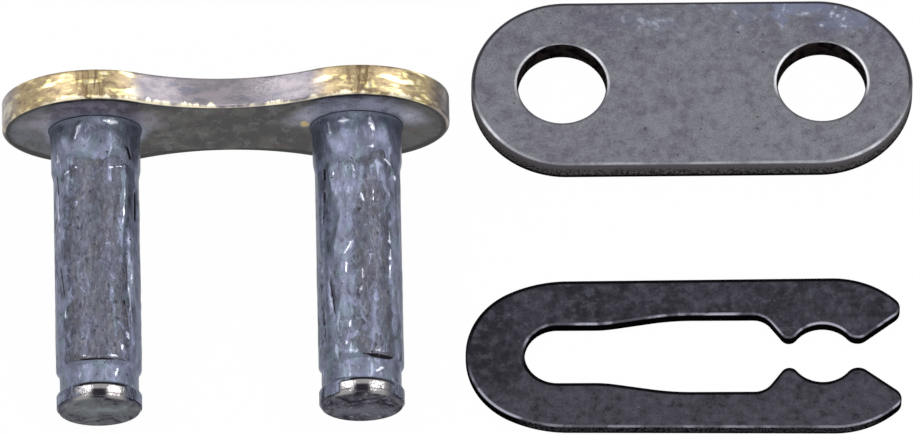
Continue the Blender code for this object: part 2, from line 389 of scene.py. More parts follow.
class Finish:
    """A material being built round its Principled shader."""

    def __init__(self, name, **sockets):
        self.material = bpy.data.materials.new(name)
        self.material.use_nodes = True
        self.tree = self.material.node_tree
        self.shader = self.tree.nodes["Principled BSDF"]
        for words, value in sockets.items():
            socket = words.replace("_", " ").title().replace("Ior", "IOR")
            self.shader.inputs[socket].default_value = value

    def add(self, kind, settings, values, output=0):
        """Add a node of a kind, with its settings first, then its sockets' values or links."""
        node = self.tree.nodes.new("ShaderNode" + kind)
        for name, value in settings.items():
            setattr(node, name, value)
        for socket, value in values.items():
            self.join(value, node.inputs[socket])
        return Socket(self, node.outputs[output])

    def join(self, value, socket):
        """Give a socket a link, or set it to a value."""
        if isinstance(value, Socket):
            self.tree.links.new(value.link, socket)
        else:
            socket.default_value = value

    def attribute(self, name):
        """A value that the piece's mesh carries."""
        return self.add("Attribute", {"attribute_name": name}, {}, "Fac")

    def place(self, stretch=(1, 1, 1)):
        """The point's place in the piece's own frame, in mm, stretched along its axes."""
        place = self.add("Attribute", {"attribute_name": "place"}, {}, "Vector")
        return self.add("VectorMath", {"operation": "MULTIPLY"}, {0: place, 1: stretch})

    def along(self, axis):
        """The point's place along one axis of the piece's own frame, in mm."""
        return self.add("SeparateXYZ", {}, {0: self.place()}, axis)

    def noise(self, scale, detail=4, stretch=(1, 1, 1), roughness=0.6, distortion=0.0):
        """Cloudy noise about 0.5, with so many clouds to the mm."""
        return self.add("TexNoise", {}, {
            "Vector": self.place(stretch), "Scale": scale, "Detail": detail, "Roughness": roughness,
            "Distortion": distortion})

    def mix(self, mask, under, over):
        """One colour laid over another where the mask is 1."""
        return self.add("Mix", {"data_type": "RGBA"}, {0: mask, 6: under, 7: over}, 2)

    def coats(self, colour, *coats):
        """A colour with coats laid over it in turn, each a mask and the colour that it brings."""
        for mask, coat in coats:
            colour = self.mix(mask, colour, coat)
        return colour

    def set(self, socket, value):
        """Feed a socket of the shader."""
        self.join(value, self.shader.inputs[socket])

    def bump(self, height, depth_mm):
        """Raise and lower the surface by the height, in parts of a depth."""
        self.set("Normal", self.add("Bump", {}, {"Height": height, "Distance": depth_mm * MM}))


def seen(red, green, blue):
    """A colour written as it shows on a screen, 0 to 255, turned to the light it stands for."""
    levels = np.array([red, green, blue]) / 255
    light = np.where(levels <= 0.04045, levels / 12.92, ((levels + 0.055) / 1.055) ** 2.4)
    return (*light.tolist(), 1)


def rim_gold(finish, x, y, edge, clouds, cells):
    """The plated rim: gold with painted highlights on its facets and along its edge next to the inner
    face, violet at the waist and the ends, and dark along its lower side.
    """
    teeth = finish.noise(2.4, 4, (1, 0.15, 0.15), 0.7)
    highlight_facets = finish.noise(0.9, 2, (0.8, 0.8, 2.2), 0.5)
    brown = (x.size() - BROWN_STREAK_X).size().below(0.4, 1.3) * teeth.between(0.46, 0.58)
    waist = (x.size() + clouds * 1.6).below(5.6, 7.2)
    ends = (x.size() + clouds * 0.8).between(12.6, 13.6) * 0.7
    violet = finish.coats(
        finish.mix(cells.between(0.4, 0.62), seen(124, 120, 127), seen(144, 137, 142)),
        (cells.below(0.36, 0.44) * 0.4, seen(100, 102, 122)))
    lit = (finish.noise(0.5, 2, (1, 0.1, 0.1)) + teeth * 0.3).between(0.56, 0.66)
    # Painted highlight: a bright cream line along the rim's edge next to the inner face, patchy where
    # lit is high.
    painted_edge_highlight = edge.between(-0.02, 0.06) * (edge + teeth * 0.9 - 0.2 * lit).below(0.4, 0.62)
    painted_edge_highlight = painted_edge_highlight * (x.size() + teeth).below(11.2, 12.2)
    return finish.coats(
        finish.mix(cells.between(0.38, 0.5), seen(129, 113, 93), seen(166, 148, 115)),
        (cells.between(0.56, 0.62) * 0.6, seen(236, 220, 168)),
        # Painted highlights: pale gold and near-white patches on the rim's facets.
        (highlight_facets.between(0.57, 0.62) * 0.8, seen(240, 222, 154)),
        (highlight_facets.between(0.63, 0.68), seen(255, 248, 218)),
        (brown * 0.8, seen(106, 84, 62)),
        (waist.maths("MAXIMUM", ends), violet),
        (painted_edge_highlight * (0.35 + 0.6 * lit), seen(255, 244, 214)),
        (y.below(-0.8, 0.4) * edge.below(0.2, 0.4), seen(44, 41, 37)))


def worn_face(finish, x, y, edge, clouds, cells, grain):
    """The worn inner face's colour, olive grey and dirty, with the grease round the pins lightened as
    painted light, and how oily it is at each point.
    """
    patches = finish.noise(0.7, 4, (1, 0.6, 1), 0.65)
    dirt = finish.noise(1.2, 4, (1, 0.6, 1), 0.7)
    beside = x.size() - PITCH / 2
    from_pin = (beside * beside + y * y) ** 0.5
    right = x.between(-1, 1)
    outer = (x.size() + clouds * 2).between(10.4, 12.4) * (0.3 + 0.7 * dirt.between(0.4, 0.56))
    # Grease round the pins: its light colours also stand as painted light over the shade above and
    # beside the pins, and upper_band stretches it up under the rim.
    upper_band = y.between(2.6, 4.6) * beside.size().below(1.5, 3.5)
    grease_and_painted_light = (from_pin + 1.6 * clouds - 0.9 * upper_band).below(4.0, 5.8) * y.between(-0.5, 2)
    grease_and_painted_light = grease_and_painted_light * (0.75 + 0.25 * dirt.between(0.4, 0.56))
    grimy = dirt.below(0.38, 0.5) * grease_and_painted_light * (1 - 0.6 * right)
    # A light blue ring round the left pin: grease, lightened as painted light against the shade at the
    # collar.
    left_grease_and_painted_light = (from_pin + clouds).below(3.1, 4.2) * (1 - right)
    chip_x, chip_y = x - CHIP_PLACE[0], y - CHIP_PLACE[1]
    chip = (chip_x * chip_x * 12 + chip_y * chip_y * 4 + 4 * (dirt - 0.5)).below(0.1, 1.3)
    rim_line = (edge + 0.5 * cells + 0.3 * y.below(-3.5, -1.5)).between(-0.2, 0.1)
    olive = finish.coats(
        finish.mix(patches.between(0.42, 0.58), seen(48, 45, 47), seen(76, 75, 70)),
        (dirt.between(0.53, 0.62) * 0.6, seen(106, 106, 106)),
        (dirt.below(0.36, 0.44) * 0.6, seen(52, 49, 50)),
        (outer, finish.mix(right, seen(90, 94, 103), seen(78, 78, 78))),
        (grease_and_painted_light, finish.mix(right, seen(158, 149, 166), seen(190, 192, 214))),
        (grimy * 0.6, seen(92, 76, 88)),
        (left_grease_and_painted_light, seen(146, 153, 172)),
        (grain.between(0.35, 0.7) * 0.3, seen(62, 61, 63)),
        (cells.below(0.34, 0.4) * 0.6, seen(84, 58, 56)),
        (chip, seen(196, 176, 118)),
        (rim_line, seen(14, 12, 14)))
    return olive, grease_and_painted_light


def plated_back(finish, clouds, cells):
    """The outer face: dull gold, a little scuffed."""
    scuffs = finish.noise(0.8, 5, (1, 0.7, 1), 0.7)
    return finish.coats(
        finish.mix(clouds.between(0.38, 0.62), seen(164, 150, 122), seen(190, 174, 138)),
        (cells.between(0.54, 0.62) * 0.35, seen(220, 205, 164)),
        (scuffs.below(0.38, 0.46) * 0.6, seen(128, 121, 112)))


def gold_and_worn_steel():
    """Gold plating on the rim and the outer face, and a worn, greasy grey inner face, with painted
    highlights on the rim and painted light over the inner face round the pins.
    """
    finish = Finish("gold_plating")
    edge = finish.attribute("edge")
    side = finish.attribute("side")
    x, y = finish.along(0), finish.along(1)
    clouds = finish.noise(0.5, 3)
    cells = finish.noise(1.1, 5, (0.8, 0.8, 1.8), 0.65)
    grain = finish.noise(9, 3)
    wear_and_sheen, grease_and_painted_light = worn_face(finish, x, y, edge, clouds, cells, grain)
    face = finish.mix(side, wear_and_sheen, plated_back(finish, clouds, cells))
    on_rim = edge.between(-0.1, 0.0)
    grease_and_painted_light = grease_and_painted_light * (1 - side) * (1 - on_rim)
    finish.set("Base Color", finish.mix(on_rim, face, rim_gold(finish, x, y, edge, clouds, cells)))
    finish.set("Metallic", 1 - 0.7 * grease_and_painted_light)
    finish.set("Roughness", 0.4 - 0.16 * edge.between(-0.1, 0.05) + 0.15 * grain)
    finish.bump(grain * 0.15 + cells * 0.6, 0.05)
    return finish.material


def build_link_plate():
    """The plate in its own frame: x along the pitch, z = 0 its outer face and +z along the pins."""
    half = PITCH / 2
    waist_depth = LOBE_RADIUS - WAIST_HALF_HEIGHT
    waist_radius = (half ** 2 + WAIST_HALF_HEIGHT ** 2 - LOBE_RADIUS ** 2) / (2 * waist_depth)
    waist_centre = WAIST_HALF_HEIGHT + waist_radius
    circles = [
        (0, -waist_centre, -waist_radius), (half, 0, LOBE_RADIUS), (0, waist_centre, -waist_radius)]
    patches = mirrored(plate_patches(circles, PLATE_THICKNESS, PIN_RADIUS + PRESS_GAP))
    shift = seat(patches, link_turn, "pin_link_plate")
    inner_face = shift + link_turn @ np.array([0, 0, PLATE_THICKNESS]) * MM
    plate = skin("gold_edged_plate", patches, link_turn, shift)
    plate.data.materials.append(gold_and_worn_steel())
    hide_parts("pin_link_plate")
    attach(plate, "root")
    return inner_face


def turn_matrix(lean, turn):
    """Rotation that lays a frame whose +z is its height down by lean, then turns it about +Z."""
    return np.array(Matrix.Rotation(turn, 3, "Z") @ Matrix.Rotation(lean, 3, "X"))


link_turn = turn_matrix(math.pi / 2 + LINK_LEAN, LINK_TURN)
link_place = build_link_plate()

# The two pins: hardened steel turned and ground, pressed through the plate and riveted behind it.
# Each has a groove for the clip near its tip.
PIN_REACH = 18.2
GROOVE_START = 15.6
GROOVE_WIDTH = 1.6
GROOVE_RADIUS = 1.95
LAND_RADIUS = 2.5
TIP_ROUNDING = 0.24
GROOVE_ROUNDING = 0.06
HEAD_RADIUS = 2.95
HEAD_HEIGHT = 0.55
HEAD_FLAT_RADIUS = 1.4
HEAD_RIM = 0.14
HEAD_FLAT_ROUNDING = 0.1
HEAD_RIM_ROUNDING = 0.04
LEAST_ROUNDING = 0.02
CROWN_POINTS = 9
SOFT_POINTS = 7
PIN_SIDES = 192
PIN_ANGLES = np.linspace(0, math.tau, PIN_SIDES + 1)[:, None]
LAND_DARK_LINE = 17.8  # height of a fine dark line round the land
LAND_SHADE = (17.45, 17.62)  # heights between which the land's upper and lower sides go dark
PINS = {"left_pin": -1, "right_pin": 1}  # each CAD node and its side of the middle
HALF_TURNS = {-1: np.eye(3), 1: np.diag([-1, -1, 1])}


def softened(corners):
    """A section's corners (radius, height, rounding) with each corner replaced by a small curve.

    The curve of a corner C between points A and B, one rounding away on either side, is
    (1 - t)^2 A + 2 t (1 - t) C + t^2 B.
    """
    corners = np.array(corners, float)
    points = [corners[:1, :2]]
    t = np.linspace(0, 1, SOFT_POINTS)[:, None]
    for before, corner, after in zip(corners, corners[1:], corners[2:]):
        middle, rounding = corner[:2], corner[2]
        back = (before[:2] - middle) / np.linalg.norm(before[:2] - middle)
        ahead = (after[:2] - middle) / np.linalg.norm(after[:2] - middle)
        start, end = middle + rounding * back, middle + rounding * ahead
        points.append((1 - t) ** 2 * start + 2 * t * (1 - t) * middle + t ** 2 * end)
    points.append(corners[-1:, :2])
    return np.concatenate(points)


def turned(radius, height, **values):
    """A patch of points at a radius and a height, once round +z through the pin's angles from +y."""
    flat = np.stack([radius * np.sin(PIN_ANGLES), radius * np.cos(PIN_ANGLES)], -1)
    return grid(flat, height, **values)


def pin_section():
    """Half section of a pin from the middle of its riveted head to the middle of its tip."""
    head_seat = -PLATE_THICKNESS - PRESS_GAP
    a = np.linspace(0, math.pi / 2, CROWN_POINTS)[1:-1]
    crown_radius = HEAD_FLAT_RADIUS + (HEAD_RADIUS - HEAD_FLAT_RADIUS) * np.sin(a)
    crown_height = head_seat - HEAD_RIM - (HEAD_HEIGHT - HEAD_RIM) * np.cos(a)
    crown = [(radius, height, LEAST_ROUNDING) for radius, height in zip(crown_radius, crown_height)]
    groove_end = GROOVE_START + GROOVE_WIDTH
    return softened([
        (0, head_seat - HEAD_HEIGHT, 0),
        (HEAD_FLAT_RADIUS, head_seat - HEAD_HEIGHT, HEAD_FLAT_ROUNDING), *crown,
        (HEAD_RADIUS, head_seat - HEAD_RIM, HEAD_RIM_ROUNDING), (HEAD_RADIUS, head_seat, LEAST_ROUNDING),
        (PIN_RADIUS, head_seat, LEAST_ROUNDING), (PIN_RADIUS, GROOVE_START, GROOVE_ROUNDING),
        (GROOVE_RADIUS, GROOVE_START, GROOVE_ROUNDING), (GROOVE_RADIUS, groove_end, GROOVE_ROUNDING),
        (LAND_RADIUS, groove_end, 2 * GROOVE_ROUNDING), (LAND_RADIUS, PIN_REACH, TIP_ROUNDING),
        (0, PIN_REACH, 0)])


def dull_end(finish, streaks, specks):
    """The end of a pin: dull where it was ground, and muddy on the right one."""
    mud = finish.noise(0.6, 4, (1, 1, 1), 0.65, 0.6)
    dirty = finish.attribute("dirty")
    grime = (0.5 * mud + 0.5 * specks - 0.02 * dirty).below(0.37, 0.45)
    return finish.coats(
        finish.mix(mud.between(0.36, 0.58), seen(86, 83, 92), seen(118, 122, 124)),
        (mud.between(0.56, 0.64) * 0.6, seen(144, 149, 159)),
        (dirty * 0.92, finish.mix(mud.between(0.38, 0.6), seen(52, 47, 58), seen(108, 107, 116))),
        (dirty * streaks.between(0.56, 0.64) * 0.6, seen(156, 160, 172)),
        (grime * 0.85, seen(34, 29, 38)))


def ground_steel():
    """Ground steel, brownish grey under a wipe of oil, polished on the land and dull on its end."""
    finish = Finish("oiled_pin_steel", metallic=1, specular_tint=(0.5, 0.5, 0.52, 1))
    height = finish.along(2)
    aside = finish.along(0).size()
    streaks = finish.noise(2.2, 5, (1, 1, 0.3), 0.7)
    specks = finish.noise(3.6, 2, (1, 1, 0.55), 0.6)
    grain = finish.noise(5, 3, (1, 1, 0.45))
    clouds = finish.noise(0.5, 3)
    polished = height.between(GROOVE_START + GROOVE_WIDTH - 0.1, GROOVE_START + GROOVE_WIDTH)
    # Painted shade: a fine dark line round the land, between its highlights.
    painted_dark_line = (height - LAND_DARK_LINE).size().below(0.03, 0.06) * streaks.between(0.4, 0.5)
    shade = height.between(*LAND_SHADE) * aside.below(0.25, 0.8)
    ground_end = height.between(PIN_REACH - 0.12, PIN_REACH - 0.02)
    finish.set("Base Color", finish.coats(
        finish.mix(streaks.between(0.36, 0.62), seen(80, 77, 83), seen(106, 105, 110)),
        (clouds.between(0.45, 0.6) * 0.5, seen(94, 95, 112)),
        (grain.between(0.54, 0.65) * 0.6, seen(140, 139, 145)),
        (grain.below(0.37, 0.45) * 0.6, seen(60, 57, 62)),
        (specks.below(0.33, 0.4), seen(36, 32, 34)),
        (polished, finish.mix(aside.below(1.2, 1.8), seen(84, 84, 94), seen(150, 147, 148))),
        (painted_dark_line * 0.8, seen(92, 84, 86)),
        (shade, seen(44, 42, 48)),
        (ground_end, dull_end(finish, streaks, specks))))
    finish.set("Roughness", 0.34 + 0.2 * specks - 0.3 * (polished - ground_end))
    finish.bump(streaks * 0.6 + specks * 0.4, 0.05)
    return finish.material


def pin_shift(side):
    """The shift, in metres, of the pin at one side: its axis where it meets the plate's inner face."""
    return link_place + link_turn @ np.array([side * PITCH / 2, 0, 0]) * MM


def build_pins():
    """Both pins, each in the place of its CAD node.

    The right one is half a turn round from the left one, so that their marks differ. The value
    dirty is 1 on the right one, whose end is muddier.
    """
    steel = ground_steel()
    radius, height = pin_section().T[:, None]
    for node, side in PINS.items():
        body = turned(radius, height, dirty=(side + 1) / 2)
        pin = skin(node + "_steel", [body], link_turn @ HALF_TURNS[side], pin_shift(side))
        pin.data.materials.append(steel)
        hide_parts(node)
        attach(pin, "root")


build_pins()

# The grease on the pins: a thick bluish smear left where the link was packed. It stands in a collar
# at the plate, in ridges down both sides, and fills most of the groove; elsewhere it is a thin film.
# Each pin's grease is one skin whose distance from the steel is worked out point by point.
GREASE_START = 0.02
GREASE_END = 18.14
GREASE_ROWS = 260
INNER_RING = 1.0  # radius to which the skin turns in at both ends
THINNEST = 0.005
SIDE_FILM = 0.035
RIPPLE_FILM = 0.016
COLLAR_THICKNESS = 0.12
COLLAR_LENGTH = 3.0
ROOT_FILLET = 0.16
ROOT_HEIGHT = 0.3
GROOVE_FILL = 0.56
GROOVE_FILM = 0.08
LAND_DIP = 0.12  # how far the film sinks under the steel where the land is clean
END_DIP = 0.5
CREST_HEIGHT = 0.03
ARC_FADE = 12  # degrees over which an arc fades in and out
WAVE_COUNT = 60
GREASE = {
    # Per pin, with angles in degrees from its upper side: the seed of its ripples, the angle where it
    # is barest and how narrow that bare side is, and the middle and half width of the clean part of
    # its land. Ridges and furrows are lines down the pin: angle and height at the start, the same at
    # the end, half width, thickness. Arcs are furrows round it at the groove's edges: height, first
    # and last angle, half width, thickness. The material paints shade in furrows and arcs. Dabs and
    # strokes are painted glints on small crests of grease, dabs down the pin and strokes round it,
    # with no thickness given.
    "left_pin": {
        "seed": 3, "bare": -2, "reach": 1.0, "land": (6, 31),
        "ridges": [
            (44, 3.2, 38, 7.4, 0.2, 0.15), (50, 7.0, 55, 11.8, 0.16, 0.14),
            (38, 7.2, 36, 9.4, 0.12, 0.1), (70, 3.2, 76, 15.6, 0.5, 0.14),
            (-60, 3.2, -58, 7.6, 0.22, 0.1), (-40, 2.6, -46, 4.8, 0.14, 0.1),
            (-52, 9.0, -44, 12.0, 0.2, 0.08), (60, 11.5, 56, 15.6, 0.3, 0.14),
            (-70, 10.5, -62, 15.4, 0.35, 0.08), (20, 10.8, 26, 14.4, 0.16, 0.05),
            (-52, 0.4, -40, 3.0, 0.3, 0.16), (-20, 0.3, -30, 1.6, 0.14, 0.12),
            (62, 0.4, 74, 3.2, 0.3, 0.14)],
        "furrows": [
            (64, 4.4, 62, 6.4, 0.09, 0.07), (44, 9.2, 43, 11.0, 0.09, 0.06),
            (-58, 9.2, -50, 11.4, 0.07, 0.05), (-64, 3.3, -60, 4.6, 0.1, 0.05),
            (46, 1.7, 52, 2.5, 0.1, 0.07), (38, 11.7, 45, 13.4, 0.09, 0.08)],
        "arcs": [
            (15.6, -24, 20, 0.09, 0.08), (17.2, -28, 38, 0.1, 0.08)],
        "dabs": [
            (-23, 0.5, -27, 1.45, 0.12), (42, 4.4, 38, 6.9, 0.06), (47, 10.6, 52, 13.2, 0.07),
            (45, 13.7, 46, 14.2, 0.1), (36, 14.6, 33, 15.0, 0.09), (-60, 4.7, -59, 7.2, 0.06),
            (29, 16.1, 26, 16.7, 0.08), (-48, 3.5, -24, 3.1, 0.2), (18, 3.3, 44, 3.0, 0.16),
            (-58, 2.0, -57, 2.6, 0.12), (-49, 12.2, -49, 12.7, 0.07), (52, 9.0, 52, 10.6, 0.06)],
        "strokes": [
            (0.34, 12, 30, 0.19), (0.34, 15, 26, 0.17), (15.42, -26, -16, 0.09), (15.42, 16, 27, 0.09)]},
    "right_pin": {
        "seed": 8, "bare": 22, "reach": 0.35, "land": (5, 40),
        "ridges": [
            (-44, 3.0, -30, 6.4, 0.3, 0.14), (-66, 3.0, -60, 9.0, 0.3, 0.12),
            (30, 3.0, 48, 5.4, 0.26, 0.15), (58, 3.4, 62, 9.6, 0.3, 0.15),
            (-20, 5.2, -36, 9.4, 0.3, 0.11), (50, 9.0, 58, 13.6, 0.3, 0.13),
            (-52, 9.0, -44, 15.4, 0.32, 0.12), (-16, 9.6, -30, 13.0, 0.24, 0.09),
            (70, 12.4, 64, 15.8, 0.3, 0.12), (4, 3.2, -8, 6.0, 0.2, 0.08),
            (22, 11.4, 12, 15.4, 0.26, 0.08), (-50, 0.4, -30, 3.0, 0.3, 0.15),
            (36, 0.4, 50, 3.0, 0.3, 0.15), (72, 0.5, 74, 12.0, 0.4, 0.1)],
        "furrows": [
            (-51, 3.3, -50, 4.1, 0.15, 0.05), (-52, 4.8, -53, 5.5, 0.15, 0.05),
            (-53, 5.5, -55, 6.9, 0.06, 0.04), (12, 4.3, 17, 4.7, 0.1, 0.08),
            (-44, 10.6, -36, 13.0, 0.06, 0.05), (-60, 12.6, -57, 13.4, 0.16, 0.05),
            (-57, 13.4, -54, 14.6, 0.06, 0.04)],
        "arcs": [
            (15.62, 14, 44, 0.14, 0.12), (17.2, -16, 36, 0.1, 0.07)],
        "dabs": [
            (17, 0.35, 18, 0.85, 0.12), (20, 0.6, 21, 1.25, 0.17), (-39, 0.4, -36, 1.3, 0.08),
            (38, 2.85, 50, 3.2, 0.16), (57, 3.75, 57, 4.1, 0.14), (45, 7.4, 46, 8.3, 0.1),
            (47, 8.6, 46, 9.4, 0.09), (46, 9.6, 44, 10.6, 0.07), (3, 5.2, 8, 5.8, 0.07),
            (20, 5.0, 21, 5.85, 0.06), (-34, 3.7, -34, 4.0, 0.1), (-8, 3.3, -4, 3.9, 0.07),
            (-8, 8.3, -21, 9.2, 0.07), (-17, 9.7, -18, 10.4, 0.07), (4, 10.1, 4, 10.8, 0.07),
            (4, 11.2, -2, 11.8, 0.07), (-13, 13.4, -15, 13.95, 0.06), (-20, 14.7, -20, 15.0, 0.08),
            (34, 16.3, 22, 16.7, 0.16), (-3, 16.3, -3, 16.6, 0.06)],
        "strokes": [
            (0.55, -25, -12, 0.14), (0.55, -22, -15, 0.1), (2.25, 12, 22, 0.06),
            (15.4, -15, -8, 0.1), (15.4, 16, 31, 0.13)]}}


def waves(angle, height, seed):
    """Ripples about 0: cosines with seeded headings, summed and divided by the root of their count.

    Each cosine has a whole number of waves to a turn, so that the ripples join up.
    """
    chance = np.random.default_rng(seed)
    total = np.zeros(np.broadcast_shapes(angle.shape, height.shape))
    for _ in range(WAVE_COUNT):
        around = chance.integers(-9, 10)
        along = chance.uniform(-2.6, 2.6)
        total += np.cos(around * angle + along * height + chance.uniform(0, math.tau))
    return total / math.sqrt(WAVE_COUNT)


def rise(value, low, high):
    """0 under low and 1 over high, with a smooth step 3 t^2 - 2 t^3 between."""
    t = np.clip((value - low) / (high - low), 0, 1)
    return t * t * (3 - 2 * t)


def drawn(angle, height, lines):
    """The sum of lines down a pin, each its thickness times exp(-(d / half width)^2), d aside of it."""
    total = 0
    for start_angle, start, end_angle, end, half_width, thickness in lines:
        share = (height - start) / (end - start)
        line = np.radians(start_angle + np.clip(share, 0, 1) * (end_angle - start_angle))
        aside = (angle - line + math.pi) % math.tau - math.pi
        ends = rise(share, -0.08, 0.12) * (1 - rise(share, 0.88, 1.08))
        total = total + thickness * np.exp(-(aside * PIN_RADIUS / half_width) ** 2) * ends
    return total


def arched(angle, height, arcs):
    """The sum of arcs round a pin, each its thickness times exp(-(d / half width)^2), d beside it."""
    degrees = np.degrees((angle + math.pi) % math.tau - math.pi)
    total = 0
    for middle, first, last, half_width, thickness in arcs:
        ends = rise(degrees, first - ARC_FADE, first + ARC_FADE)
        ends = ends * (1 - rise(degrees, last - ARC_FADE, last + ARC_FADE))
        total = total + thickness * np.exp(-((height - middle) / half_width) ** 2) * ends
    return total


def lengthened(values):
    """The values with their first and last column once more, for the rings that turn in."""
    return np.concatenate([values[:, :1], values, values[:, -1:]], 1)


def grease_skin(seed, bare, reach, land, ridges, furrows, arcs, dabs, strokes):
    """The patch of one pin's grease, turned in at both ends to a ring inside the steel.

    Its material reads film, which is the thickness and a little more in the groove, furrow and
    crest, which say how much of each there is (it paints shade in furrows and glints where
    crest is), and root, which is 1 next to the plate.
    """
    angle = PIN_ANGLES
    height = np.linspace(GREASE_START, GREASE_END, GREASE_ROWS)[None, :]
    ripple = waves(angle, height, seed)
    fine = waves(3 * angle, 3 * height, seed + 1)
    border = COLLAR_LENGTH + 0.3 * np.cos(2 * angle + seed) + 0.2 * np.cos(5 * angle)
    collar = COLLAR_THICKNESS * (1 - rise(height, border - 0.7, border + 0.1))
    sides = rise(1 - np.cos(angle - math.radians(bare)), 0.08 * reach, 0.5 * reach)
    lumps = 0.35 + 0.4 * rise(ripple + 0.4 * fine, -1.2, 1.2)
    film = THINNEST + SIDE_FILM * sides + RIPPLE_FILM * rise(ripple, 0.2, 1.6) + 0.002 * fine
    film = film + collar * (1 + 0.15 * ripple)
    film = film + ROOT_FILLET * np.exp(-height / ROOT_HEIGHT) + drawn(angle, height, ridges) * lumps
    groove_end = GROOVE_START + GROOVE_WIDTH
    groove = rise(height, GROOVE_START - 0.05, GROOVE_START + 0.3)
    groove = groove * (1 - rise(height, groove_end - 0.2, groove_end + 0.02))
    depth = (PIN_RADIUS - GROOVE_RADIUS) * (1 - GROOVE_FILL)
    film = film + GROOVE_FILM * groove * (1 + 0.4 * ripple)
    off_land = np.abs(np.degrees((angle + math.pi) % math.tau - math.pi) - land[0]) + 3 * ripple
    bare_land = 1 - rise(off_land, land[1] - 4, land[1] + 4)
    film = film - LAND_DIP * rise(height, groove_end - 0.02, groove_end + 0.12) * bare_land
    film = film - END_DIP * rise(height, GREASE_END - 0.2, GREASE_END)
    furrow = drawn(angle, height, furrows) + arched(angle, height, arcs)
    crest = drawn(angle, height, [(*dab, 1) for dab in dabs])
    crest = crest + arched(angle, height, [(*stroke, 1) for stroke in strokes])
    film = film + CREST_HEIGHT * crest
    radius = lengthened(PIN_RADIUS + film - groove * depth - furrow)
    radius[:, [0, -1]] = INNER_RING
    height = lengthened(height)
    return turned(
        radius, height, film=lengthened(film + 0.1 * groove), furrow=lengthened(furrow),
        crest=lengthened(crest), root=1 - rise(height, 0.1, 0.9))


def bluish_grease():
    """Glossy blue-grey grease, clear where thin, with specks of dark grit, painted shade in its furrows
    and painted glints.
    """
    finish = Finish("bluish_grease", metallic=0.7, specular_tint=(0.72, 0.74, 0.78, 1))
    clouds = finish.noise(0.9, 4)
    swirl = finish.noise(2.2, 5, (1, 1, 0.6), 0.65, 0.8)
    grit = finish.noise(4.5, 2)
    streaks = finish.noise(1.5, 4, (1.6, 1.6, 0.5), 0.6, 0.5)
    teal = finish.noise(1.3, 4, (1, 1, 0.7), 0.6, 0.4)
    # Painted shade: the furrows and the arcs at the groove's edges turn near black.
    painted_furrow_shade = finish.attribute("furrow").between(0.012, 0.04)
    # Painted glints: near-white grease at the dabs and strokes and where swirl runs high.
    crest = (1.2 * finish.attribute("crest") + 3.2 * (swirl - 0.5)).between(0.4, 1.3)
    thick = (finish.attribute("film") + 0.14 * (swirl - 0.5)).between(0.004, 0.05)
    finish.set("Base Color", finish.coats(
        finish.mix(clouds.between(0.38, 0.62), seen(104, 108, 124), seen(121, 125, 148)),
        (teal.between(0.5, 0.6) * 0.65, seen(108, 124, 132)),
        (swirl.between(0.5, 0.66) * 0.5, seen(141, 146, 174)),
        (swirl.below(0.36, 0.46) * 0.5, seen(88, 84, 102)),
        # Painted glints: pale streaks where the streaks noise peaks.
        (streaks.between(0.6, 0.68) * 0.6, seen(176, 184, 208)),
        (finish.attribute("root") * 0.6, seen(84, 92, 101)),
        (painted_furrow_shade, seen(14, 12, 18)),
        (grit.below(0.27, 0.34), seen(36, 32, 42)),
        (crest, seen(226, 230, 244))))
    finish.set("Alpha", (0.25 + 0.75 * thick).maths("MAXIMUM", painted_furrow_shade).maths("MAXIMUM", crest))
    finish.set("Roughness", 0.3 + 0.14 * grit - 0.25 * crest)
    finish.bump(swirl, 0.035)
    return finish.material


def build_grease():
    """The grease of both pins, flattened where it rests on the sheet.

    The right one's places are turned half round and its matrix turns them back: its clouds and
    streaks differ from the left one's, and its ridges stay where they are drawn.
    """
    grease = bluish_grease()
    for node, side in PINS.items():
        patch = grease_skin(**GREASE[node])
        patch["points"] = patch["points"] @ HALF_TURNS[side]
        layer = skin(node + "_grease", [patch], link_turn @ HALF_TURNS[side], pin_shift(side))
        place = np.empty(3 * len(layer.data.vertices))
        layer.data.vertices.foreach_get("co", place)
        place[2::3] = np.maximum(place[2::3], 0)
        layer.data.vertices.foreach_set("co", place)
        layer.data.materials.append(grease)
        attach(layer, "root")


build_grease()

# The cover plate: a blanked and bored steel side plate with straight sides and round ends, satin
# grey, that slips over both pins. Its cut wall is rough and dark, with painted shade at its foot;
# its face edges carry painted highlights on the lower side and painted shade on the upper side,
# and its bores painted shade inside and a painted highlight on the lip.
COVER_THICKNESS = 1.5
COVER_RADIUS = 5.81
COVER_END_INSET = 0.26
SLIP_CLEARANCE = 0.14
COVER_TURN = math.radians(0.6)


def cover_face(finish, x, y, mottle, grain):
    """The cover plate's satin face: mottled grey, lighter towards its lower side, with a blue smear of
    grease and painted glints on it.
    """
    clouds = finish.noise(0.35, 4)
    specks = finish.noise(2.6, 2)
    smear = finish.noise(0.5, 4, (0.8, 1.2, 1), 0.6, 0.5).between(0.46, 0.6)
    smear = smear * (0.4 * x.between(-6, -3) + 0.6 * x.between(2, 6)) * y.between(2.8, 4.6)
    return finish.coats(
        finish.mix(clouds.between(0.36, 0.64), seen(99, 97, 109), seen(113, 114, 121)),
        (y.below(0.5, 4.5) * 0.4, seen(128, 128, 135)),
        (mottle.between(0.48, 0.62) * 0.45, seen(134, 135, 142)),
        (mottle.below(0.36, 0.46) * 0.5, seen(87, 84, 96)),
        (grain.below(0.38, 0.52) * 0.35, seen(84, 83, 91)),
        (grain.between(0.56, 0.66) * 0.25, seen(146, 146, 153)),
        (specks.below(0.27, 0.32) * 0.8, seen(62, 60, 70)),
        (smear * 0.5, seen(122, 130, 158)),
        # Painted glints: pale specks on the smear.
        (smear * mottle.between(0.57, 0.65) * 0.8, seen(190, 196, 214)))


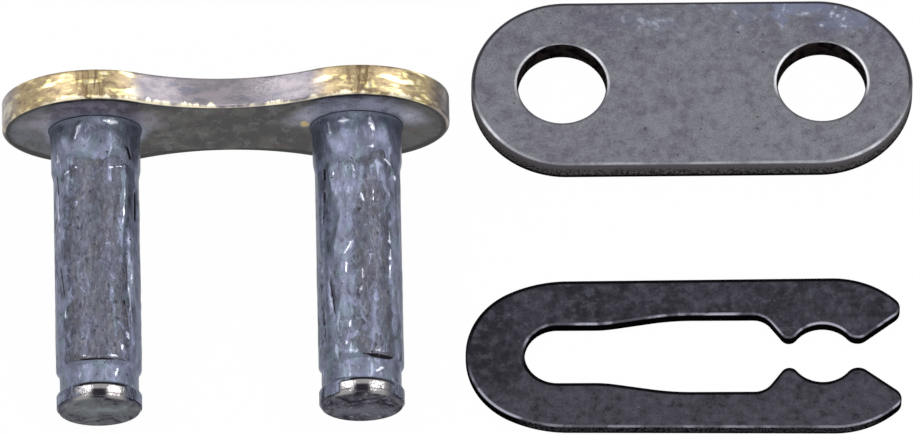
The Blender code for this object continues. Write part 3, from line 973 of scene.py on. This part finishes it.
def satin_steel():
    """Mottled satin grey steel with a dark, speckled wall, painted highlights on the lower face edges
    and bore lips, and painted shade at the wall's foot, along the upper edges and inside the bores.
    """
    finish = Finish("satin_plate_steel", specular_ior_level=0)
    edge = finish.attribute("edge")
    bore = finish.attribute("bore")
    x, y = finish.along(0), finish.along(1)
    mottle = finish.noise(1.6, 5)
    grain = finish.noise(8, 3)
    wear_and_sheen = finish.noise(0.3, 4).between(0.42, 0.6)
    wall = finish.mix(grain.between(0.42, 0.58), seen(36, 34, 36), seen(96, 93, 94))
    wall = finish.mix(edge.between(0.3, 0.9), seen(96, 92, 96), wall)
    # Painted shade: the foot of the wall, against the sheet, goes near black.
    wall = finish.mix(edge.between(1.1, 1.3), wall, seen(14, 14, 16))
    # Painted highlight along the face edges on the lower side, strongest towards the ends and patchy by
    # wear_and_sheen; painted shade along the face edges on the upper side.
    rim = edge.between(-0.12, -0.04) * edge.below(0.06, 0.16)
    lower = y.below(-3.5, 0)
    ends = x.size().between(8, 11.5)
    shine = 0.04 + 0.2 * wear_and_sheen + 0.7 * ends * (0.3 + 0.7 * wear_and_sheen)
    # Painted shade inside the bores on their upper side and a darker lip, with a painted highlight on
    # the lip's upper half, strongest at its left and right.
    aside = (x.size() - PITCH / 2).size().between(0.7, 2.0)
    inside = (bore - 0.04 * aside).between(0.01, 0.04) * y.between(-1.6, -0.2)
    lip = bore.between(-0.02, 0.02) * (1 - inside)
    painted_lip_highlight = lip * y.between(-1.4, 0) * (1 - 0.8 * (1 - aside) * mottle.between(0.42, 0.52))
    finish.set("Base Color", finish.coats(
        cover_face(finish, x, y, mottle, grain),
        (edge.between(0.06, 0.2), wall),
        (rim * (1 - lower), seen(56, 55, 62)),
        (rim * lower * shine, seen(208, 208, 216)),
        (inside, finish.mix(mottle.between(0.4, 0.6), seen(12, 10, 12), seen(40, 34, 34))),
        (lip * 0.4, seen(70, 69, 76)),
        (painted_lip_highlight * (0.2 + 0.7 * aside * (0.4 + 0.6 * wear_and_sheen)), seen(216, 216, 222))))
    finish.set("Metallic", 1 - edge.between(0.1, 0.2).maths("MAXIMUM", inside))
    finish.set("Roughness", 0.38 + 0.2 * grain)
    finish.bump(grain * 0.5 + mottle * 0.5, 0.03)
    return finish.material


def build_cover_plate():
    """The cover plate in its own frame: x along the pitch, z = 0 its underside."""
    reach = PITCH / 2 - COVER_END_INSET
    circles = [(0, 0, COVER_RADIUS), (reach, 0, COVER_RADIUS), (0, 0, COVER_RADIUS)]
    patches = mirrored(plate_patches(circles, COVER_THICKNESS, PIN_RADIUS + SLIP_CLEARANCE))
    turn = turn_matrix(0, COVER_TURN)
    cover = skin("satin_cover_plate", patches, turn, seat(patches, turn, "cover_plate"))
    cover.data.materials.append(satin_steel())
    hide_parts("cover_plate")
    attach(cover, "root")


build_cover_plate()

# The spring clip: thin strip stamped to a long U and tempered dark. Two bumps on each arm snap
# round the groove of one pin, and the closed end seats in the groove of the other.
CLIP_THICKNESS = 0.75
CLIP_EDGE = 0.1
CLIP_BACK_HALF_WIDTH = 5.14
CLIP_HALF_WIDTH = 5.27
CLIP_NOSE_TIGHTENING = 0.34
CLIP_FLANK_RADIUS = 8.0
CLIP_NOSE_WIDTH = 3.58
SEAT_CLEARANCE = 0.05
SEAT_PLAY = 0.2
BITE_CLEARANCE = 0.05
BITE_MOUTH = 2.0
INNER_BUMP_RADIUS = 0.55
OUTER_BUMP_RADIUS = 0.8
ARM_GAP = 5.32
SHOULDER_RADIUS = 1.3
SHOULDER_SETBACK = 4.18
NECK_START = 2.2
NECK_LENGTH = 6.0
NECK_RADIUS = 8.0
ARM_RADIUS = 16.0
TAIL_REACH = 4.74
TAIL_HEIGHT = 3.18
TAIL_TIP_RADIUS = 0.78
TAIL_BACK_RADIUS = 5.6
CLIP_TURN = math.radians(0.3)
CLIP_FACE_SHARES = (0, 0.01, 0.06, 0.2, 0.35, 0.5, 0.65, 0.8, 0.94, 0.99, 1)
SEAT_X = -PITCH - SEAT_PLAY


def clip_borders():
    """The inside and the outside of the clip's upper half, each a trace: points and normals."""
    seat_radius = GROOVE_RADIUS + SEAT_CLEARANCE
    bite_radius = GROOVE_RADIUS + BITE_CLEARANCE
    inner_y = BITE_MOUTH / 2 + INNER_BUMP_RADIUS
    inner_x = -math.sqrt((bite_radius + INNER_BUMP_RADIUS) ** 2 - inner_y ** 2)
    outer_y = BITE_MOUTH / 2 + OUTER_BUMP_RADIUS
    outer_x = math.sqrt((bite_radius + OUTER_BUMP_RADIUS) ** 2 - outer_y ** 2)
    tail_x = TAIL_REACH - TAIL_TIP_RADIUS
    back_y = CLIP_HALF_WIDTH - TAIL_BACK_RADIUS
    back_x = tail_x - math.sqrt((TAIL_BACK_RADIUS - TAIL_TIP_RADIUS) ** 2 - (TAIL_HEIGHT - back_y) ** 2)
    nose_radius = CLIP_BACK_HALF_WIDTH - CLIP_NOSE_TIGHTENING
    nose_x = SEAT_X - seat_radius - CLIP_NOSE_WIDTH + nose_radius
    flank_y = CLIP_BACK_HALF_WIDTH - CLIP_FLANK_RADIUS
    flank_x = nose_x + math.sqrt((CLIP_FLANK_RADIUS - nose_radius) ** 2 - flank_y ** 2)
    tip = (tail_x, TAIL_HEIGHT, TAIL_TIP_RADIUS)
    inside = trace([
        (SEAT_X, 0, -seat_radius), (SEAT_X + NECK_START, seat_radius + NECK_RADIUS, NECK_RADIUS),
        (SEAT_X + NECK_START + NECK_LENGTH, ARM_GAP / 2 - ARM_RADIUS, -ARM_RADIUS),
        (-SHOULDER_SETBACK, ARM_GAP / 2 - SHOULDER_RADIUS, -SHOULDER_RADIUS),
        (inner_x, inner_y, INNER_BUMP_RADIUS), (0, 0, -bite_radius),
        (outer_x, outer_y, OUTER_BUMP_RADIUS), tip], math.pi / 2, math.pi / 2)
    outside = trace([
        tip, (back_x, back_y, TAIL_BACK_RADIUS), (flank_x, flank_y, CLIP_FLANK_RADIUS),
        (nose_x, 0, nose_radius)], math.pi / 2, 3 * math.pi / 2)
    return inside, outside


def station(points):
    """A number that grows along the clip from its closed end.

    It is x beyond the seat's centre, and behind the centre a quarter turn less the angle round it.
    """
    along = points[:, 0] - SEAT_X
    angle = np.arctan2(points[:, 1], along)
    return np.where(along >= 0, along, math.pi / 2 - angle)


def clip_patches():
    """The clip as one section carried from tail to tail.

    At each station the section runs over the top face from inside to outside, down the outer
    wall, back under the clip and up the inner wall. The lower half mirrors the upper one. The
    value edge is the distance in mm from a face's border, above 0 down the walls. The value near
    is how far the border or wall faces the viewer: 1 towards -y and -1 away from them.
    """
    (inside, inside_normal), (outside, outside_normal) = clip_borders()
    where, known = station(inside), station(outside)
    order = np.argsort(known)
    columns = (*outside.T, *outside_normal.T)
    paired = [np.interp(where, known[order], column[order]) for column in columns]
    outside, outside_normal = np.stack(paired[:2], -1), np.stack(paired[2:], -1)
    outside_normal /= np.linalg.norm(outside_normal, axis=1, keepdims=True)
    inset, height, down = wall_section(CLIP_THICKNESS, CLIP_EDGE, EDGE_POINTS, WALL_POINTS)
    share = np.array(CLIP_FACE_SHARES)[None, :, None]
    inner_border = (inside - CLIP_EDGE * inside_normal)[:, None]
    outer_border = (outside - CLIP_EDGE * outside_normal)[:, None]
    face = inner_border * (1 - share) + outer_border * share
    width = np.linalg.norm(outer_border - inner_border, axis=-1)
    edge = -width * np.minimum(share, 1 - share)[..., 0]
    outer_wall = outside[:, None] - inset[None, :, None] * outside_normal[:, None]
    inner_wall = inside[:, None] - inset[None, :, None] * inside_normal[:, None]
    flat = np.concatenate([face, outer_wall, face[:, ::-1], inner_wall[:, ::-1]], 1)
    tall = np.concatenate([
        np.full(face.shape[1], CLIP_THICKNESS), height, np.zeros(face.shape[1]), height[::-1]])
    down = np.tile(down, (len(flat), 1))
    edge = np.concatenate([edge, down, edge[:, ::-1], down[:, ::-1]], 1)
    near = -np.where(share[..., 0] < 0.5, inside_normal[:, 1:], outside_normal[:, 1:])
    outer_near = np.broadcast_to(-outside_normal[:, 1:], down.shape)
    inner_near = np.broadcast_to(-inside_normal[:, 1:], down.shape)
    near = np.concatenate([near, outer_near, near[:, ::-1], inner_near], 1)
    flat = np.concatenate([flat[::-1] * np.array([1, -1]), flat[1:]])
    edge = np.concatenate([edge[::-1], edge[1:]])
    near = np.concatenate([-near[::-1], near[1:]])
    return [grid(flat, tall[None, :], edge=edge, near=near)]


def tempered_steel():
    """Dark, mottled spring steel, black on its cut wall, with a painted highlight along the edges that
    face the viewer and painted shade along those that face away.
    """
    finish = Finish("tempered_clip_steel", specular_ior_level=0)
    edge = finish.attribute("edge")
    near = finish.attribute("near")
    y = finish.along(1)
    clouds = finish.noise(0.4, 4)
    mottle = finish.noise(2.0, 5)
    grain = finish.noise(8, 3)
    scratches = finish.noise(2.6, 2, (0.7, 1, 1), 0.5)
    outside = y.below(-4.9, -4.4)
    wall = finish.mix(grain.between(0.42, 0.6), seen(8, 7, 10), seen(64, 62, 66))
    # Painted shade: the upper part of the outer wall along the lower arm goes near black.
    wall = finish.mix(outside * edge.below(0.5, 0.7), seen(8, 7, 9), wall)
    # Painted highlight: a light line along the face edges that turn towards the viewer, patchy by
    # wear_and_sheen.
    line = edge.between(-0.12, -0.04) * edge.below(0.06, 0.12) * near.between(0.1, 0.6)
    wear_and_sheen = finish.noise(0.5, 4).between(0.44, 0.58) * (1 - 0.6 * outside * near.between(0.9, 0.98))
    # Painted shade along the face edges that turn away from the viewer.
    far = edge.between(-0.2, -0.1) * near.below(-0.4, 0.1)
    finish.set("Base Color", finish.coats(
        finish.mix(clouds.between(0.38, 0.62), seen(44, 43, 50), seen(59, 58, 66)),
        (y.below(-4, 0) * 0.5, seen(76, 75, 83)),
        (mottle.between(0.46, 0.66) * 0.55, seen(82, 82, 92)),
        (mottle.below(0.34, 0.46) * 0.6, seen(36, 34, 40)),
        (grain.below(0.36, 0.46) * 0.35, seen(40, 38, 44)),
        (scratches.between(0.72, 0.78) * 0.5, seen(128, 130, 142)),
        (edge.between(-0.02, 0.06), wall),
        (line * (0.15 + 0.75 * wear_and_sheen), seen(158, 158, 172)),
        (far, seen(10, 9, 12))))
    finish.set("Metallic", edge.below(0.06, 0.12))
    finish.set("Roughness", 0.4 + 0.2 * grain)
    finish.bump(grain * 0.5 + mottle * 0.5, 0.03)
    return finish.material


def build_clip():
    """The spring clip, seated in its CAD node's box."""
    patches = clip_patches()
    turn = turn_matrix(0, CLIP_TURN)
    clip = skin("tempered_spring_clip", patches, turn, seat(patches, turn, "spring_clip"))
    clip.data.materials.append(tempered_steel())
    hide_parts("spring_clip")
    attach(clip, "root")


build_clip()
